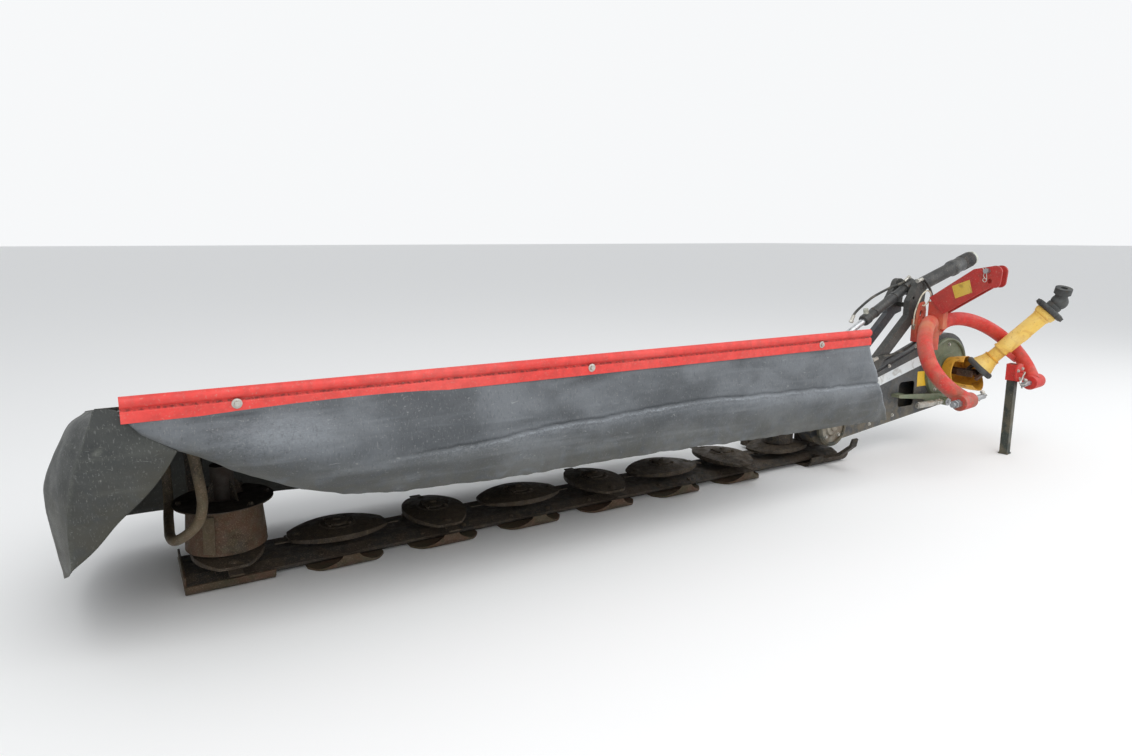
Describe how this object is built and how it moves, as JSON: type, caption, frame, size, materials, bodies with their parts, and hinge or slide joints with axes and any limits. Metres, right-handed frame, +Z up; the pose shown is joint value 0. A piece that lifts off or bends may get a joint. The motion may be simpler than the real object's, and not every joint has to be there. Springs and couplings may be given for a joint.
{
  "type": "disc mower",
  "caption": "Three-point mounted disc mower with oval discs, curtained guard, lift cylinder, break-away latch and shielded driveline, parked on its stand.",
  "frame": {"origin": "centre of the bounding box's base, on the ground", "axes": "+X outward along the cutterbar, +Y forward to the tractor, +Z up"},
  "size_m": [4.692, 1.2418, 1.2159],
  "materials": {
    "red_paint": "worn gloss",
    "dark_red_paint": "worn",
    "dark_paint": "satin",
    "blue_black_paint": "satin",
    "green_paint": "satin",
    "grey_steel": "dull",
    "rusty_steel": "rusty",
    "bright_steel": "worn",
    "yellow_plastic": "weathered",
    "black_plastic": "matt",
    "cream_plastic": "matt",
    "hose_rubber": "matt",
    "cord": "woven",
    "curtain": "rubberised"
  },
  "bodies": {
    "frame": {"headstock": "red_paint", "far_leg": "red_paint", "mast": "dark_red_paint", "top_link_pin": "bright_steel", "near_hitch_pin": "bright_steel", "far_hitch_pin": "bright_steel", "pivot_block": "dark_paint", "front_strut": "dark_paint", "rear_strut": "blue_black_paint", "belt_housing": "dark_paint", "drive_cover": "green_paint", "pivot_cover": "grey_steel", "latch_bracket": "dark_paint", "latch_rod": "bright_steel", "input_bell": "yellow_plastic", "input_joint": "grey_steel", "stand_bracket": "dark_red_paint", "hydraulic_hose": "hose_rubber", "pull_cord": "cord"},
    "stand": {"stand_leg": "black_plastic"},
    "barrel": {"lift_barrel": "blue_black_paint", "barrel_cap": "cream_plastic"},
    "rod": {"lift_rod": "bright_steel"},
    "driveline": {"shaft_yoke": "grey_steel", "inner_shield": "yellow_plastic", "lower_ring": "black_plastic"},
    "driveline_sleeve": {"outer_shield": "yellow_plastic", "upper_ring": "black_plastic", "tractor_yoke": "black_plastic"},
    "cutterbar_unit": {"cutterbar": "grey_steel", "skids": "grey_steel", "inner_shoe": "grey_steel", "outer_shoe": "rusty_steel", "gearbox": "grey_steel", "lift_lug": "grey_steel", "guard_frame": "dark_paint", "front_rail": "red_paint", "canopy": "dark_paint", "outer_hoop": "dark_paint", "front_curtain": "curtain", "outer_curtain": "curtain", "rear_curtain": "curtain"},
    "rotor_1": {"disc_1": "rusty_steel", "inner_drum": "black_plastic"},
    "rotor_2": {"disc_2": "rusty_steel"},
    "rotor_3": {"disc_3": "rusty_steel"},
    "rotor_4": {"disc_4": "rusty_steel"},
    "rotor_5": {"disc_5": "rusty_steel"},
    "rotor_6": {"disc_6": "rusty_steel"},
    "rotor_7": {"disc_7": "rusty_steel"},
    "rotor_8": {"disc_8": "rusty_steel", "end_drum": "rusty_steel"}
  },
  "joints": [
    {"name": "lift", "type": "hinge", "parent": "frame", "child": "cutterbar_unit", "pos_m": [-1.034, -0.16415, 0.22], "axis": [0, -1, 0], "range_deg": [-8, 85], "deforming": ["front_curtain"]},
    {"name": "barrel_swing", "type": "hinge", "parent": "frame", "child": "barrel", "pos_m": [-1.724, -0.05915, 0.945], "axis": [0, -1, 0], "range_deg": [-21.05, 2.16]},
    {"name": "rod_slide", "type": "slide", "parent": "barrel", "child": "rod", "axis": [0.8954, 0, -0.4453], "range_m": [-0.3743, 0.037]},
    {"name": "disc_1_spin", "type": "hinge", "parent": "cutterbar_unit", "child": "rotor_1", "pos_m": [-0.844, -0.16415, 0.09], "axis": [0, 0, 1], "continuous": true},
    {"name": "disc_2_spin", "type": "hinge", "parent": "cutterbar_unit", "child": "rotor_2", "pos_m": [-0.444, -0.16415, 0.09], "axis": [0, 0, 1], "continuous": true},
    {"name": "disc_3_spin", "type": "hinge", "parent": "cutterbar_unit", "child": "rotor_3", "pos_m": [-0.044, -0.16415, 0.09], "axis": [0, 0, 1], "continuous": true},
    {"name": "disc_4_spin", "type": "hinge", "parent": "cutterbar_unit", "child": "rotor_4", "pos_m": [0.356, -0.16415, 0.09], "axis": [0, 0, 1], "continuous": true},
    {"name": "disc_5_spin", "type": "hinge", "parent": "cutterbar_unit", "child": "rotor_5", "pos_m": [0.756, -0.16415, 0.09], "axis": [0, 0, 1], "continuous": true},
    {"name": "disc_6_spin", "type": "hinge", "parent": "cutterbar_unit", "child": "rotor_6", "pos_m": [1.156, -0.16415, 0.09], "axis": [0, 0, 1], "continuous": true},
    {"name": "disc_7_spin", "type": "hinge", "parent": "cutterbar_unit", "child": "rotor_7", "pos_m": [1.556, -0.16415, 0.09], "axis": [0, 0, 1], "continuous": true},
    {"name": "disc_8_spin", "type": "hinge", "parent": "cutterbar_unit", "child": "rotor_8", "pos_m": [1.956, -0.16415, 0.09], "axis": [0, 0, 1], "continuous": true},
    {"name": "stand_slide", "type": "slide", "parent": "frame", "child": "stand", "axis": [0, 0, 1], "range_m": [0, 0.14]},
    {"name": "driveline_swing", "type": "hinge", "parent": "frame", "child": "driveline", "pos_m": [-2.064, 0.17585, 0.44], "axis": [0, 0.8065, -0.5912], "range_deg": [0, 30]},
    {"name": "driveline_slide", "type": "slide", "parent": "driveline", "child": "driveline_sleeve", "axis": [-0.389, 0.5446, 0.743], "range_m": [-0.05, 0.18]}
  ],
  "couplings": [
    {"joint": "barrel_swing", "follows": "lift", "ratio": -0.24528},
    {"joint": "rod_slide", "follows": "lift", "m_per_rad": -0.25094},
    {"joint": "disc_2_spin", "follows": "disc_1_spin", "ratio": -1},
    {"joint": "disc_3_spin", "follows": "disc_1_spin", "ratio": 1},
    {"joint": "disc_4_spin", "follows": "disc_1_spin", "ratio": -1},
    {"joint": "disc_5_spin", "follows": "disc_1_spin", "ratio": 1},
    {"joint": "disc_6_spin", "follows": "disc_1_spin", "ratio": -1},
    {"joint": "disc_7_spin", "follows": "disc_1_spin", "ratio": 1},
    {"joint": "disc_8_spin", "follows": "disc_1_spin", "ratio": -1}
  ]
}
